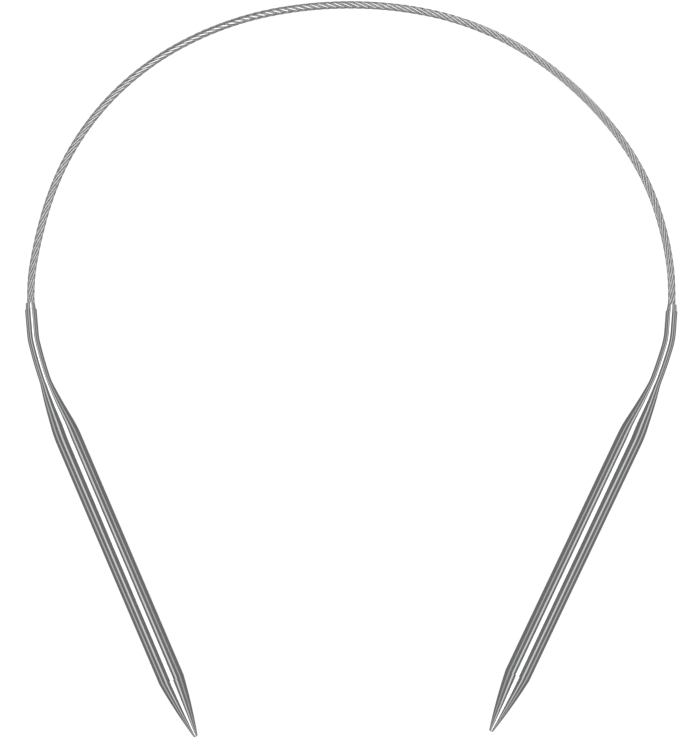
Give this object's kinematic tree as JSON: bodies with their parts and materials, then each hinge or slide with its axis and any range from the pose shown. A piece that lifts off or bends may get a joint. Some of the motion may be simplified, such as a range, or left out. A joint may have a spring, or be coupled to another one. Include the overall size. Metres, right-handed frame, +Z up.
{
  "type": "circular knitting needle",
  "caption": "Pair of straight polished needle tips with bent necks, joined point to point by a flexible stranded steel cable.",
  "frame": {"origin": "on the floor, at the centre of the box round the two needles and their sleeves, without the cable", "axes": "+X from the left needle to the right needle, +Y from the points towards the cable's loop, +Z up from the floor that it lies on"},
  "size_m": [0.1367, 0.1545, 0.0055],
  "materials": {
    "needle_steel": "polished",
    "sleeve_steel": "satin",
    "cable_steel": "bright drawn wire"
  },
  "bodies": {
    "left_end": {"left_sleeve": "sleeve_steel", "cable_core": "cable_steel", "cable_strands": "cable_steel"},
    "right_end": {"right_sleeve": "sleeve_steel"},
    "left_needle": {"left_point": "needle_steel", "left_shaft": "needle_steel", "left_neck": "needle_steel"},
    "right_needle": {"right_point": "needle_steel", "right_shaft": "needle_steel", "right_neck": "needle_steel"}
  },
  "joints": [
    {"name": "cable_flex", "type": "hinge", "parent": "left_end", "child": "right_end", "pos_m": [0, 0.113, 0.00275], "axis": [0, 0, 1], "range_deg": [-20, 90], "stiffness_Nm_per_rad": 0.004, "deforming": ["cable_core", "cable_strands"]},
    {"name": "left_twist", "type": "hinge", "parent": "left_end", "child": "left_needle", "pos_m": [-0.06711, 0.044, 0.00275], "axis": [-0.084, 0.9965, 0], "range_deg": [-180, 180]},
    {"name": "right_twist", "type": "hinge", "parent": "right_end", "child": "right_needle", "pos_m": [0.0672, 0.04365, 0.00275], "axis": [0.0748, 0.9972, 0], "range_deg": [-180, 180]}
  ]
}
